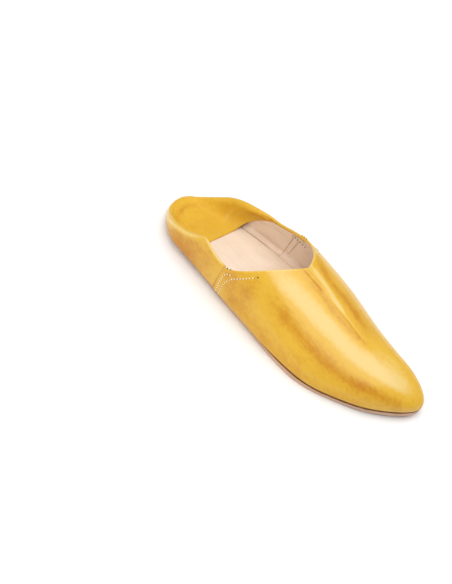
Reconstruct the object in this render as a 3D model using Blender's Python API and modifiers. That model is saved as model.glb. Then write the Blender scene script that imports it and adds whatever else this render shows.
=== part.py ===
"""Babouche slipper for the right foot: a soft leather mule with its back folded in.

X runs from the heel back to the toe, Y to the wearer's left, which is the medial side
of a right shoe, and Z up. The floor is Z = 0 and the origin is the middle of the
footprint. The pieces are the outsole, the insole, the hollow upper with the vamp
lapped over the quarter at the side seams, and the folded back that lies on the insole.
"""

import math
from collections import namedtuple

import bmesh
import bpy

MM = 0.001

# Driving dimensions
SOLE_LENGTH = 278.0 * MM
BALL_WIDTH = 86.0 * MM
INSTEP_HEIGHT = 57.0 * MM
QUARTER_HEIGHT = 37.0 * MM
SOLE_THICKNESS = 3.5 * MM
INSOLE_THICKNESS = 1.5 * MM
UPPER_WALL = 1.6 * MM
FOLD_WALL = 1.2 * MM
TOE_SPRING = 5.0 * MM
TOE_SWING = 17.0 * MM

# How the upper sits on the sole
SWELL = 6.0 * MM
BELLY_HEIGHT = 6.0 * MM
FEATHER_INSET = 1.2 * MM
LAP_STEP = 0.8 * MM
LAP_EDGE = 0.4 * MM
CLEARANCE = 0.3 * MM
WALL_CLEARANCE = 1.1 * MM
FOLD_DROP = 0.8 * MM
FOLD_TIP = 5.0 * MM

# Places along the foot, as shares of the sole's length
HEEL_ROUND = 0.137
TOE_ROUND = 0.122
SPRING_START = 0.75
SWING_START = 0.20
SEAM_FOOT = 0.34
SEAM_TOP = {"lateral": 0.352, "medial": 0.398}
THROAT_FRONT = 0.535
THROAT_ROUND = 1.5
THROAT_TAPER = 0.6
FOLD_FRONT = 0.18
FOLD_CORNER = 0.27
FOLD_STRAIGHT = 0.75
FOLD_SCOOP = 2.2
FOLD_SLANT = 1.8

# Sections of the last. Widths are the sole's, as shares of half the ball width, swell
# and belly are shares of SWELL and BELLY_HEIGHT, and crown is a share of INSTEP_HEIGHT.
Section = namedtuple("Section", "share lateral medial swell belly crown fullness")
LAST = (
    Section(0.00, 0.71, 0.53, 0.60, 0.80, 0.92, 0.90),
    Section(0.12, 0.74, 0.62, 1.00, 0.90, 0.98, 0.88),
    Section(0.28, 0.81, 0.79, 1.00, 1.00, 1.08, 0.84),
    Section(0.45, 0.92, 0.87, 0.85, 1.10, 1.10, 0.95),
    Section(0.62, 1.07, 0.91, 0.45, 1.00, 0.90, 1.03),
    Section(0.76, 1.06, 0.72, 0.30, 0.90, 0.70, 1.04),
    Section(0.89, 0.77, 0.56, 0.20, 0.80, 0.49, 0.96),
    Section(1.00, 0.51, 0.45, 0.15, 0.70, 0.31, 0.92),
)

# Height of the top edge over the floor, as shares of QUARTER_HEIGHT
Rim = namedtuple("Rim", "share lateral medial")
TOPLINE = (
    Rim(0.00, 0.34, 0.34),
    Rim(0.05, 0.44, 0.40),
    Rim(0.10, 0.58, 0.58),
    Rim(0.17, 0.82, 0.82),
    Rim(0.22, 0.95, 0.90),
    Rim(0.30, 0.92, 1.04),
    Rim(0.40, 0.96, 1.15),
)

# Fineness of the meshes
HEEL_STATIONS = 9
QUARTER_STATIONS = 8
THROAT_STATIONS = 10
VAMP_STATIONS = 10
TOE_STATIONS = 9
BELLY_STEPS = 3
ARCH_STEPS = 9
FOLD_COLUMNS = 36
FOLD_STEPS = 8
SOLE_COLUMNS = 8

COLORS = {
    "outsole": (0.50, 0.30, 0.19, 1.0),
    "insole": (0.84, 0.68, 0.52, 1.0),
    "upper": (0.84, 0.51, 0.09, 1.0),
    "heel_fold": (0.80, 0.47, 0.10, 1.0),
}
ROUGHNESS = {"outsole": 0.6, "insole": 0.7, "upper": 0.38, "heel_fold": 0.42}


def read(rows, column, share):
    """One column of a table at a share of the length, on a smooth curve through the rows."""
    xs = [row.share for row in rows]
    ys = [getattr(row, column) for row in rows]
    share = min(max(share, xs[0]), xs[-1])
    i = max(k for k in range(len(xs) - 1) if xs[k] <= share)
    slopes = [(ys[k + 1] - ys[k]) / (xs[k + 1] - xs[k]) for k in range(len(xs) - 1)]

    def tangent(k):
        if k == 0:
            return slopes[0]
        if k == len(xs) - 1:
            return slopes[-1]
        before, after = xs[k] - xs[k - 1], xs[k + 1] - xs[k]
        return (slopes[k - 1] * after + slopes[k] * before) / (before + after)

    h = xs[i + 1] - xs[i]
    t = (share - xs[i]) / h
    return (
        (2 * t**3 - 3 * t**2 + 1) * ys[i]
        + (t**3 - 2 * t**2 + t) * h * tangent(i)
        + (3 * t**2 - 2 * t**3) * ys[i + 1]
        + (t**3 - t**2) * h * tangent(i + 1)
    )


def side_name(side):
    return "medial" if side > 0 else "lateral"


def heel_rounding(share):
    """0 at the heel back and 1 from where the heel's arc ends."""
    a = max(0.0, 1 - share / HEEL_ROUND)
    return math.sqrt(max(0.0, 1 - a * a))


def toe_rounding(share):
    """1 up to where the toe's arc starts and 0 at its tip."""
    a = max(0.0, 1 - (1 - share) / TOE_ROUND)
    return math.sqrt(max(0.0, 1 - a * a))


def rounding(share):
    return heel_rounding(share) * toe_rounding(share)


def sole_half(share, side):
    """Half width of the sole's outline."""
    return BALL_WIDTH / 2 * read(LAST, side_name(side), share) * rounding(share)


def centre_line(share):
    """How far the last's middle swings to the medial side towards the toe."""
    t = max(0.0, (share - SWING_START) / (1 - SWING_START))
    return TOE_SWING * t * t


def floor_rise(share):
    """Height of the sole's underside: flat on the floor, then up to the toe spring."""
    t = max(0.0, (share - SPRING_START) / (1 - SPRING_START))
    return TOE_SPRING * t * t


def feather_height(share):
    """Height of the upper's lower edge, just clear of the sole's top."""
    return floor_rise(share) + SOLE_THICKNESS + CLEARANCE


def belly_height(share):
    """Height of the widest level of the upper."""
    rise = 0.35 + 0.65 * toe_rounding(share)
    return feather_height(share) + BELLY_HEIGHT * read(LAST, "belly", share) * rise


def crown_height(share):
    """Height of the closed last's ridge over the centre line."""
    ridge = floor_rise(share) + INSTEP_HEIGHT * read(LAST, "crown", share)
    belly = belly_height(share)
    return belly + (ridge - belly) * toe_rounding(share) ** 0.9


def swell(share):
    return SWELL * read(LAST, "swell", share)


def belly_half(share, side):
    """Half width at the widest level, past the sole's edge by the swell."""
    return sole_half(share, side) + swell(share) * rounding(share)


def arch_at_height(share, height):
    """Arch fraction of a height: 0 at the belly, 1 at the ridge."""
    belly, crown = belly_height(share), crown_height(share)
    part = min(max((height - belly) / max(crown - belly, MM), 0.0), 1.0)
    return math.asin(part ** (1 / read(LAST, "fullness", share))) / (math.pi / 2)


def top_arch(share, side):
    """Arch fraction of the top edge: the quarter's rim, then the round throat."""
    seam = SEAM_TOP[side_name(side)]
    rim_end = min(share, seam)
    height = QUARTER_HEIGHT * read(TOPLINE, side_name(side), rim_end)
    arch = arch_at_height(rim_end, height)
    if share <= seam:
        return arch
    if share >= THROAT_FRONT:
        return 1.0
    closing = 1 - ((share - seam) / (THROAT_FRONT - seam)) ** THROAT_ROUND
    fullness = read(LAST, "fullness", share)
    opening = math.cos(arch * math.pi / 2) ** fullness * closing**THROAT_TAPER
    return math.acos(opening ** (1 / fullness)) / (math.pi / 2)


def end_shift(share, out):
    """How far the heel back and the toe tip stand out past the sole's ends."""
    heel = max(0.0, 1 - share / HEEL_ROUND)
    toe = max(0.0, 1 - (1 - share) / TOE_ROUND)
    return out * swell(share) * (toe * toe - heel * heel)


def skin_point(share, arch, side, lap=0.0):
    """A point of the upper's outer face; arch is -1 at the feather edge, 1 at the ridge."""
    over = max(arch, 0.0) * math.pi / 2
    under = max(-arch, 0.0) * math.pi / 2
    fullness = read(LAST, "fullness", share)
    belly, crown = belly_height(share), crown_height(share)
    tuck = (swell(share) + FEATHER_INSET) * rounding(share)
    y = belly_half(share, side) * math.cos(over) ** fullness
    y -= tuck * (1 - math.cos(under))
    y += lap * math.cos(over) * rounding(share)
    z = belly + (crown - belly) * math.sin(over) ** fullness
    z -= (belly - feather_height(share)) * math.sin(under)
    z += lap * math.sin(over) * toe_rounding(share)
    out = math.cos(under) * math.cos(over) - 0.2 * math.sin(under)
    x = (share - 0.5) * SOLE_LENGTH + end_shift(share, out)
    return (x, side * abs(y) + centre_line(share), z)


def inner_half(share, height, side, inset):
    """Half width inside the upper at a height, less an inset."""
    belly = belly_height(share)
    if height >= belly:
        over = arch_at_height(share, height) * math.pi / 2
        y = belly_half(share, side) * math.cos(over) ** read(LAST, "fullness", share)
    else:
        drop = min((belly - height) / (belly - feather_height(share)), 1.0)
        tuck = (swell(share) + FEATHER_INSET) * rounding(share)
        y = belly_half(share, side) - tuck * (1 - math.sqrt(1 - drop * drop))
    return max(y - UPPER_WALL - inset, 0.0)


def spread(start, end, count):
    """Even shares from start to end, without the end."""
    return [start + (end - start) * k / count for k in range(count)]


def heel_shares():
    """Shares round the heel, even in angle along its arc."""
    turn = [k * math.pi / 2 / HEEL_STATIONS for k in range(HEEL_STATIONS)]
    return [HEEL_ROUND * (1 - math.cos(a)) for a in turn]


def toe_shares():
    """Shares round the toe, even in angle along its arc, with the tip."""
    turn = [k * math.pi / 2 / TOE_STATIONS for k in range(TOE_STATIONS + 1)]
    return [1 - TOE_ROUND + TOE_ROUND * math.sin(a) for a in turn]


def throat_shares(seam):
    """Shares from the seam to the throat's front, closer together towards the front."""
    turn = [k * math.pi / 2 / THROAT_STATIONS for k in range(1, THROAT_STATIONS)]
    return [seam + (THROAT_FRONT - seam) * math.sin(a) for a in turn]


def new_object(name, bm, collection):
    """An object from a finished bmesh, with a material of its own."""
    mesh = bpy.data.meshes.new(name)
    bm.to_mesh(mesh)
    bm.free()
    piece = bpy.data.objects.new(name, mesh)
    collection.objects.link(piece)
    material = bpy.data.materials.new(name + "_leather")
    material.use_nodes = True
    shader = material.node_tree.nodes["Principled BSDF"]
    shader.inputs["Base Color"].default_value = COLORS[name]
    shader.inputs["Roughness"].default_value = ROUGHNESS[name]
    shader.inputs["Metallic"].default_value = 0.0
    mesh.materials.append(material)
    mesh.shade_smooth()
    mesh.set_sharp_from_angle(angle=math.radians(40))
    return piece


def add_loft(bm, rows, flip):
    """Faces between rows of points; flip turns their outer side round."""
    grid = [[bm.verts.new(point) for point in row] for row in rows]
    for below, above in zip(grid, grid[1:]):
        for k in range(len(below) - 1):
            corners = [below[k], above[k], above[k + 1], below[k + 1]]
            bm.faces.new(corners[::-1] if flip else corners)


def solidify(piece, wall):
    """Give an open surface its wall, measured inwards from its outer face."""
    shell = piece.modifiers.new("wall", "SOLIDIFY")
    shell.thickness = wall
    shell.offset = -1.0
    shell.use_quality_normals = True


def upper_stations(side):
    """Rows of the upper as (foot share, top share, lap): the seam gets two, a step apart."""
    seam = SEAM_TOP[side_name(side)]
    tilt = seam - SEAM_FOOT
    edge = LAP_EDGE / SOLE_LENGTH
    rows = [(s, s, 0.0) for s in heel_shares()]
    for s in spread(HEEL_ROUND, seam, QUARTER_STATIONS):
        lean = tilt * (s - HEEL_ROUND) / (seam - HEEL_ROUND)
        rows.append((s - lean, s, 0.0))
    rows.append((SEAM_FOOT - edge, seam - edge, 0.0))
    rows.append((SEAM_FOOT, seam, LAP_STEP))
    for s in throat_shares(seam):
        lean = tilt * (THROAT_FRONT - s) / (THROAT_FRONT - seam)
        rows.append((s - lean, s, LAP_STEP))
    for s in spread(THROAT_FRONT, 1 - TOE_ROUND, VAMP_STATIONS) + toe_shares():
        rows.append((s, s, LAP_STEP))
    return rows


def make_upper(collection):
    """The hollow upper: a wall round the foot, open at the collar and underneath."""
    bm = bmesh.new()
    for side in (-1, 1):
        rows = []
        for foot, top, lap in upper_stations(side):
            limit = top_arch(top, side)
            row = []
            for k in range(BELLY_STEPS):
                row.append(skin_point(foot, k / BELLY_STEPS - 1, side, lap))
            for k in range(ARCH_STEPS + 1):
                part = k / ARCH_STEPS
                row.append(skin_point(foot + (top - foot) * part, limit * part, side, lap))
            rows.append(row)
        add_loft(bm, rows, side > 0)
    bmesh.ops.remove_doubles(bm, verts=bm.verts, dist=0.01 * MM)
    piece = new_object("upper", bm, collection)
    solidify(piece, UPPER_WALL)
    return piece


def flat_rows(half, height, reach=0.0):
    """Rows across a flat piece from heel to toe; half gives its half width on a side."""
    shares = heel_shares()[1:] + spread(HEEL_ROUND, 1 - TOE_ROUND, 18) + toe_shares()[:-1]
    stations = [0.0] + shares + [1.0]
    rows = []
    for s in stations:
        x = (s - 0.5) * (SOLE_LENGTH - 2 * reach)
        left, right = half(s, 1), half(s, -1)
        points = []
        for k in range(SOLE_COLUMNS + 1):
            t = k / SOLE_COLUMNS
            points.append((x, centre_line(s) - right + (left + right) * t, height(s)))
        rows.append(points)
    return rows


def make_flat(name, half, height, wall, collection, reach=0.0):
    """A sheet cut to an outline, its top at the given height, its wall below."""
    bm = bmesh.new()
    add_loft(bm, flat_rows(half, height, reach), False)
    bmesh.ops.remove_doubles(bm, verts=bm.verts, dist=0.01 * MM)
    piece = new_object(name, bm, collection)
    solidify(piece, wall)
    return piece


def make_outsole(collection):
    """The leather outsole, with the true outline of the foot and the toe spring."""
    return make_flat(
        "outsole",
        sole_half,
        lambda s: floor_rise(s) + SOLE_THICKNESS,
        SOLE_THICKNESS,
        collection,
    )


def insole_top(share):
    return feather_height(share) + INSOLE_THICKNESS


def insole_half(share, side):
    """The insole fills the floor of the upper, clear of the tucked in edge of its wall."""
    inset = FEATHER_INSET + WALL_CLEARANCE
    return max(sole_half(share, side) - inset * rounding(share), 0.0)


def make_insole(collection):
    """The lining leather under the foot."""
    reach = FEATHER_INSET + WALL_CLEARANCE
    return make_flat("insole", insole_half, insole_top, INSOLE_THICKNESS, collection, reach)


def fold_rim(share, side):
    """A point just inside the upper's top edge, where the folded back turns down."""
    height = QUARTER_HEIGHT * read(TOPLINE, side_name(side), share) - FOLD_DROP
    inset = WALL_CLEARANCE + FOLD_SLANT * FOLD_WALL
    half = inner_half(share, height, side, inset)
    heel = max(0.0, 1 - share / HEEL_ROUND)
    x = (share - 0.5) * SOLE_LENGTH + (UPPER_WALL + WALL_CLEARANCE + FOLD_WALL) * heel
    return (x + end_shift(share, 1.0), side * half + centre_line(share), height)


def fold_edge(part, side):
    """A point of the fold's free edge: straight over the insole, then up the wall."""
    rest = insole_top(0.0) + CLEARANCE + FOLD_WALL
    climb = max(0.0, (part - FOLD_STRAIGHT) / (1 - FOLD_STRAIGHT))
    share = FOLD_FRONT + (FOLD_CORNER - FOLD_FRONT) * climb**2
    top = fold_rim(share, side)[2]
    height = rest + (top - FOLD_TIP - rest) * math.sin(climb * math.pi / 2)
    half = inner_half(share, height, side, WALL_CLEARANCE + FOLD_SLANT * FOLD_WALL)
    across = min(1.0, part / FOLD_STRAIGHT)
    return ((share - 0.5) * SOLE_LENGTH, side * half * across + centre_line(share), height)


def make_heel_fold(collection):
    """The back of the quarter, folded in: from the rim down the wall to the insole."""
    bm = bmesh.new()
    rows = []
    for k in range(FOLD_COLUMNS + 1):
        turn = (k / FOLD_COLUMNS * 2 - 1) * math.pi / 2
        side = 1 if turn > 0 else -1
        rim = fold_rim(FOLD_CORNER * (1 - math.cos(turn)), side)
        edge = fold_edge(abs(math.sin(turn)), side)
        row = []
        for j in range(FOLD_STEPS + 1):
            t = j / FOLD_STEPS
            across, down = t, 1 - (1 - t) ** FOLD_SCOOP
            x = rim[0] + (edge[0] - rim[0]) * across
            y = rim[1] + (edge[1] - rim[1]) * across
            row.append((x, y, rim[2] + (edge[2] - rim[2]) * down))
        rows.append(row)
    add_loft(bm, rows, True)
    bmesh.ops.remove_doubles(bm, verts=bm.verts, dist=0.01 * MM)
    piece = new_object("heel_fold", bm, collection)
    solidify(piece, FOLD_WALL)
    return piece


def centre_pieces(pieces):
    """Slide the meshes sideways and lengthways so that the origin is under the middle."""
    bpy.context.view_layer.update()
    graph = bpy.context.evaluated_depsgraph_get()
    low, high = [math.inf] * 2, [-math.inf] * 2
    for piece in pieces:
        mesh = piece.evaluated_get(graph).to_mesh()
        for vertex in mesh.vertices:
            for axis in (0, 1):
                low[axis] = min(low[axis], vertex.co[axis])
                high[axis] = max(high[axis], vertex.co[axis])
    for piece in pieces:
        for vertex in piece.data.vertices:
            vertex.co.x -= (low[0] + high[0]) / 2
            vertex.co.y -= (low[1] + high[1]) / 2


def main():
    for item in list(bpy.data.objects):
        bpy.data.objects.remove(item, do_unlink=True)
    collection = bpy.data.collections.new("babouche_slipper")
    bpy.context.scene.collection.children.link(collection)
    pieces = [
        make_outsole(collection),
        make_insole(collection),
        make_upper(collection),
        make_heel_fold(collection),
    ]
    centre_pieces(pieces)


main()
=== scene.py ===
"""Looks of a babouche slipper: soft golden leather, a folded back, pale lining, leather sole.

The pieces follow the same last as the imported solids, with the finer forms that the
solids leave out: rolled edges, the lapped side seams, stitches, creases and the lining.
"""

import math

import bmesh
import bpy
import numpy as np
from mathutils import Matrix, Vector


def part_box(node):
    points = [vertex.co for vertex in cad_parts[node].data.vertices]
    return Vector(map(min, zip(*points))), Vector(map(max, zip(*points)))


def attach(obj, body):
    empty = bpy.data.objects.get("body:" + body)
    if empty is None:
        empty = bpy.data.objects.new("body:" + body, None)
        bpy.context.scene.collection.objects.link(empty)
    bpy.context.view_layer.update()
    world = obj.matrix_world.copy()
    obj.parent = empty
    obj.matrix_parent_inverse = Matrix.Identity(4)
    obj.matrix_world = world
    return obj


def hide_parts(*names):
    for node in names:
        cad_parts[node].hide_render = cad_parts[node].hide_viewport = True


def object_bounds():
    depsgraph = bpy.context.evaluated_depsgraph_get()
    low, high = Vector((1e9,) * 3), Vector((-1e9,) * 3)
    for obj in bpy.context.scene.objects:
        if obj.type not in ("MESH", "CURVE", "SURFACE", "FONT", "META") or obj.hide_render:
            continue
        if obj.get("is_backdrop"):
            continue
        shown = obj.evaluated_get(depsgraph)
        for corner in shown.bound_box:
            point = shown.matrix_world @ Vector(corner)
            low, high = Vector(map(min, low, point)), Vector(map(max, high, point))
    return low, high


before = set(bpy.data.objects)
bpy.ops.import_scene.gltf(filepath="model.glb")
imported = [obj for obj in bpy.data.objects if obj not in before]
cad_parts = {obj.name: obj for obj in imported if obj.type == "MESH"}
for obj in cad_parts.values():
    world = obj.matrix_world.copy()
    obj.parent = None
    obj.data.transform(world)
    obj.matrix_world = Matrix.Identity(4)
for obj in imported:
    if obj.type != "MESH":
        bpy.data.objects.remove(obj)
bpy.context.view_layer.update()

bl_info = {
    "name": "Babouche slipper",
    "version": (1, 0, 0),
    "blender": (4, 5, 0),
    "location": "3D View > Sidebar > Slipper",
    "description": "Dresses the packed slipper with leather, lining, seams and stitches",
    "category": "Object",
}

MM = 0.001
BODY = "root"

# The last: sizes as in the solids, with throat, top line, fold and toe fitted more finely
SOLE_LENGTH = 278.0 * MM
BALL_WIDTH = 86.0 * MM
INSTEP_HEIGHT = 57.0 * MM
QUARTER_HEIGHT = 37.0 * MM
SOLE_THICKNESS = 3.5 * MM
INSOLE_THICKNESS = 1.5 * MM
TOE_SPRING = 5.0 * MM
TOE_SWING = 17.0 * MM
SWELL = 6.0 * MM
BELLY_HEIGHT = 6.0 * MM
FEATHER_INSET = 1.2 * MM
LAP_STEP = 0.8 * MM
CLEARANCE = 0.3 * MM
HEEL_ROUND = 0.137
TOE_ROUND = 0.122
TOE_REACH_START = 0.85
TOE_REACH = 1.5 * MM
TOE_HOOK = 2.2 * MM
SPRING_START = 0.75
SWING_START = 0.20
SEAM_FOOT = 0.34
SEAM_TOP = {-1: 0.352, 1: 0.398}
THROAT_FRONT = 0.535
THROAT_ROUND = 1.9
THROAT_TAPER = 0.77
FOLD_FRONT = 0.184
FOLD_CORNER = {-1: 0.262, 1: 0.292}
FOLD_CORNER_MIDDLE = 0.277

# Along the shoe: half widths in half ball widths, crown in instep heights, the rest as factors
LAST_COLUMNS = ("share", "lateral", "medial", "swell", "belly", "crown", "fullness")
LAST = (
    (0.00, 0.71, 0.53, 0.60, 0.45, 0.92, 0.90),
    (0.12, 0.74, 0.62, 1.00, 0.85, 0.98, 0.88),
    (0.28, 0.81, 0.79, 1.00, 1.00, 1.08, 0.84),
    (0.45, 0.92, 0.87, 0.85, 1.10, 1.10, 0.95),
    (0.62, 1.07, 0.91, 0.45, 1.00, 0.90, 1.03),
    (0.76, 1.06, 0.72, 0.30, 0.90, 0.70, 1.04),
    (0.89, 0.75, 0.56, 0.20, 0.80, 0.49, 0.96),
    (1.00, 0.46, 0.45, 0.15, 0.70, 0.31, 0.92),
)
# Height of the top edge above the floor, in quarter heights
RIM_COLUMNS = ("share", "lateral", "medial")
TOPLINE = (
    (0.00, 0.15, 0.15),
    (0.03, 0.22, 0.225),
    (0.07, 0.40, 0.39),
    (0.11, 0.55, 0.60),
    (0.17, 0.70, 0.80),
    (0.215, 0.87, 0.87),
    (0.245, 1.00, 0.92),
    (0.27, 0.98, 0.95),
    (0.30, 0.94, 0.95),
    (0.35, 0.92, 1.08),
    (0.40, 0.95, 1.26),
)

# Leather thicknesses, laps under the vamp as shares, and the rolled edges
LEATHER = 0.8 * MM
LINING_LEATHER = 0.5 * MM
LINING_DEPTH = 1.5 * MM
QUARTER_LINING_DEPTH = 2.1 * MM
QUARTER_LAP = 0.02
LINING_LAP = 0.05
LINING_LAP_DROP = 0.06
LINING_LAP_FADE = 0.12
LINING_FRONT = {-1: 0.352, 1: 0.372}
LINING_TOP_DROP = 0.03
QUARTER_LINING_ROWS = 60
ROLL_RADIUS = 1.1 * MM
HEEL_ROLL_RADIUS = 3.2 * MM
HEEL_ROLL_TURN = 2.2
HEM_DEPTH = 2.6 * MM

# Camera, fitted to the photograph: degrees, metres, and pixels of its 452 x 584 frame
CAMERA_AZIMUTH = 33.46
CAMERA_ELEVATION = 45.56
CAMERA_ROLL = 19.54
CAMERA_DISTANCE = 0.88827
CAMERA_FOCAL_PIXELS = 1075.89
CAMERA_AIM_PIXELS = (62.87, -2.31)
CAMERA_TARGET_HEIGHT = 25.0 * MM
PHOTO_HEIGHT_PIXELS = 584
SENSOR_MM = 36.0


def read(table, columns, name, share):
    """A column of a table at shares of the length, on a smooth curve through its rows."""
    rows = np.array(table)
    xs, ys = rows[:, 0], rows[:, columns.index(name)]
    share = np.clip(share, xs[0], xs[-1])
    slope = np.diff(ys) / np.diff(xs)
    step = np.diff(xs)
    tangent = np.empty_like(ys)
    tangent[0], tangent[-1] = slope[0], slope[-1]
    tangent[1:-1] = (slope[:-1] * step[1:] + slope[1:] * step[:-1]) / (step[1:] + step[:-1])
    i = np.clip(np.searchsorted(xs, share, side="right") - 1, 0, len(xs) - 2)
    h = step[i]
    t = (share - xs[i]) / h
    return (
        (2 * t**3 - 3 * t**2 + 1) * ys[i]
        + (t**3 - 2 * t**2 + t) * h * tangent[i]
        + (3 * t**2 - 2 * t**3) * ys[i + 1]
        + (t**3 - t**2) * h * tangent[i + 1]
    )


def last(name, share):
    return read(LAST, LAST_COLUMNS, name, share)


def by_side(lateral, medial, side):
    return np.where(np.asarray(side) > 0, medial, lateral)


def heel_part(share):
    """1 at the heel back, falling to 0 where the heel's arc ends."""
    return np.clip(1 - share / HEEL_ROUND, 0, 1)


def toe_part(share):
    """0 up to where the toe's arc starts, rising to 1 at the tip."""
    return np.clip(1 - (1 - share) / TOE_ROUND, 0, 1)


def toe_rounding(share):
    return np.sqrt(np.clip(1 - toe_part(share) ** 2, 0, 1))


def rounding(share):
    return np.sqrt(np.clip(1 - heel_part(share) ** 2, 0, 1)) * toe_rounding(share)


def sole_half(share, side):
    width = by_side(last("lateral", share), last("medial", share), side)
    return BALL_WIDTH / 2 * width * rounding(share)


def centre_line(share):
    swing = TOE_SWING * np.clip((share - SWING_START) / (1 - SWING_START), 0, 1) ** 2
    return swing + TOE_HOOK * toe_reach(share)


def toe_reach(share):
    """Grows from 0 behind the toe to 1 at its tip."""
    return np.clip((share - TOE_REACH_START) / (1 - TOE_REACH_START), 0, 1) ** 2


def floor_rise(share):
    return TOE_SPRING * np.clip((share - SPRING_START) / (1 - SPRING_START), 0, 1) ** 2


def feather_height(share):
    return floor_rise(share) + SOLE_THICKNESS + CLEARANCE


def belly_height(share):
    rise = 0.35 + 0.65 * toe_rounding(share)
    return feather_height(share) + BELLY_HEIGHT * last("belly", share) * rise


def crown_height(share):
    ridge = floor_rise(share) + INSTEP_HEIGHT * last("crown", share)
    belly = belly_height(share)
    return belly + (ridge - belly) * toe_rounding(share) ** 0.9


def swell(share):
    return SWELL * last("swell", share)


def belly_half(share, side):
    return sole_half(share, side) + swell(share) * rounding(share)


def arch_at_height(share, height):
    belly, crown = belly_height(share), crown_height(share)
    part = np.clip((height - belly) / np.maximum(crown - belly, MM), 0, 1)
    return np.arcsin(part ** (1 / last("fullness", share))) / (math.pi / 2)


def end_shift(share, out):
    return out * swell(share) * (toe_part(share) ** 2 - heel_part(share) ** 2)


def frame_shift():
    """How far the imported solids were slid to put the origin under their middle."""
    low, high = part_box("outsole")
    shares = np.linspace(0, 1, 2001)
    edge = centre_line(shares) - sole_half(shares, -1)
    return np.array([(low[0] + high[0]) / 2, low[1] - edge.min(), 0.0])


SHIFT = frame_shift()


def skin(share, arch, side, lap=0.0):
    """Points of the upper's outer face; arch is -1 at the sole, 0 widest and 1 at the ridge."""
    share, arch, side = np.broadcast_arrays(
        np.asarray(share, float), np.asarray(arch, float), np.asarray(side, float)
    )
    over = np.clip(arch, 0, 1) * math.pi / 2
    under = np.clip(-arch, 0, 1) * math.pi / 2
    fullness = last("fullness", share)
    belly, crown = belly_height(share), crown_height(share)
    tuck = (swell(share) + FEATHER_INSET) * rounding(share)
    y = belly_half(share, side) * np.cos(over) ** fullness - tuck * (1 - np.cos(under))
    y = y + lap * np.cos(over) * rounding(share)
    z = belly + (crown - belly) * np.sin(over) ** fullness
    z = z - (belly - feather_height(share)) * np.sin(under)
    z = z + lap * np.sin(over) * toe_rounding(share)
    out = np.cos(under) * np.cos(over) - 0.2 * np.sin(under)
    x = (share - 0.5) * SOLE_LENGTH + end_shift(share, out) + TOE_REACH * toe_reach(share)
    return np.stack([x, side * np.abs(y) + centre_line(share), z], -1) + SHIFT


def rim_height(share, side):
    lateral = read(TOPLINE, RIM_COLUMNS, "lateral", share)
    medial = read(TOPLINE, RIM_COLUMNS, "medial", share)
    return QUARTER_HEIGHT * by_side(lateral, medial, side)


def corner_arch(side):
    """Arch of the corner where the side seam meets the top edge."""
    seam = SEAM_TOP[side]
    return float(arch_at_height(np.array(seam), rim_height(np.array(seam), side)))


def throat_share(arch, side):
    """Where along the foot the throat's edge crosses an arch above the corner."""
    seam = SEAM_TOP[side]
    share = np.full_like(arch, seam)
    for _ in range(12):
        fullness = last("fullness", share)
        corner = math.cos(corner_arch(side) * math.pi / 2) ** fullness
        ratio = np.cos(np.clip(arch, 0, 1) * math.pi / 2) ** fullness / corner
        closing = np.clip(ratio, 0, 1) ** (1 / THROAT_TAPER)
        share = seam + (THROAT_FRONT - seam) * (1 - closing) ** (1 / THROAT_ROUND)
    return share


def unit(vectors):
    return vectors / np.maximum(np.linalg.norm(vectors, axis=-1, keepdims=True), 1e-12)


def smooth_step(t):
    t = np.clip(t, 0, 1)
    return t * t * (3 - 2 * t)


# Mesh helpers


def add_grid(bm, points):
    """A bmesh grid bent onto an array of points, rows by columns."""
    rows, columns = points.shape[:2]
    made = bmesh.ops.create_grid(
        bm, x_segments=columns - 1, y_segments=rows - 1, size=1.0, matrix=Matrix.Identity(4)
    )
    for vert in made["verts"]:
        column = round((vert.co.x + 1) / 2 * (columns - 1))
        row = round((vert.co.y + 1) / 2 * (rows - 1))
        vert.co = points[row, column]
    return made["verts"]


def weld(bm, distance=0.02 * MM):
    bmesh.ops.remove_doubles(bm, verts=bm.verts, dist=distance)
    flat = [edge for edge in bm.edges if edge.calc_length() < 1e-7]
    if flat:
        bmesh.ops.dissolve_degenerate(bm, dist=1e-7, edges=flat)


def face_outwards(bm, reference):
    """Turn all faces the same way, so that the one nearest the reference point faces it."""
    bmesh.ops.recalc_face_normals(bm, faces=bm.faces)
    target = Vector(reference)
    nearest = min(bm.faces, key=lambda face: (face.calc_center_median() - target).length)
    if nearest.normal.dot(target - nearest.calc_center_median()) < 0:
        bmesh.ops.reverse_faces(bm, faces=bm.faces)


def finish_piece(name, bm, surface, replaced=(), wall=None):
    """Object from a bmesh, riding on the body, with its wall and material."""
    mesh = bpy.data.meshes.new(name)
    bm.to_mesh(mesh)
    bm.free()
    piece = bpy.data.objects.new(name, mesh)
    bpy.context.scene.collection.objects.link(piece)
    mesh.materials.append(surface)
    mesh.shade_smooth()
    if wall:
        shell = piece.modifiers.new("wall", "SOLIDIFY")
        shell.thickness = wall
        shell.offset = -1.0
        shell.use_quality_normals = True
    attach(piece, BODY)
    if replaced:
        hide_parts(*replaced)
    return piece


# Shader maths


class Sock:
    """A shader value, so that node maths reads as an expression."""

    def __init__(self, graph, socket):
        self.graph = graph
        self.socket = socket

    def _math(self, operation, *others, clamp=False):
        settings = {"operation": operation, "use_clamp": clamp}
        values = {i: value for i, value in enumerate((self,) + others)}
        return self.graph.node("ShaderNodeMath", settings, values)

    def __add__(self, other):
        return self._math("ADD", other)

    def __mul__(self, other):
        return self._math("MULTIPLY", other)

    def __sub__(self, other):
        return self._math("SUBTRACT", other)

    def __rsub__(self, other):
        return (self * -1.0) + other

    def clamp(self):
        return self._math("ADD", 0.0, clamp=True)

    def between(self, low, high):
        """0 below low and 1 above high, smooth between."""
        settings = {"interpolation_type": "SMOOTHSTEP"}
        values = {"Value": self, "From Min": low, "From Max": high}
        return self.graph.node("ShaderNodeMapRange", settings, values, "Result")


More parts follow.
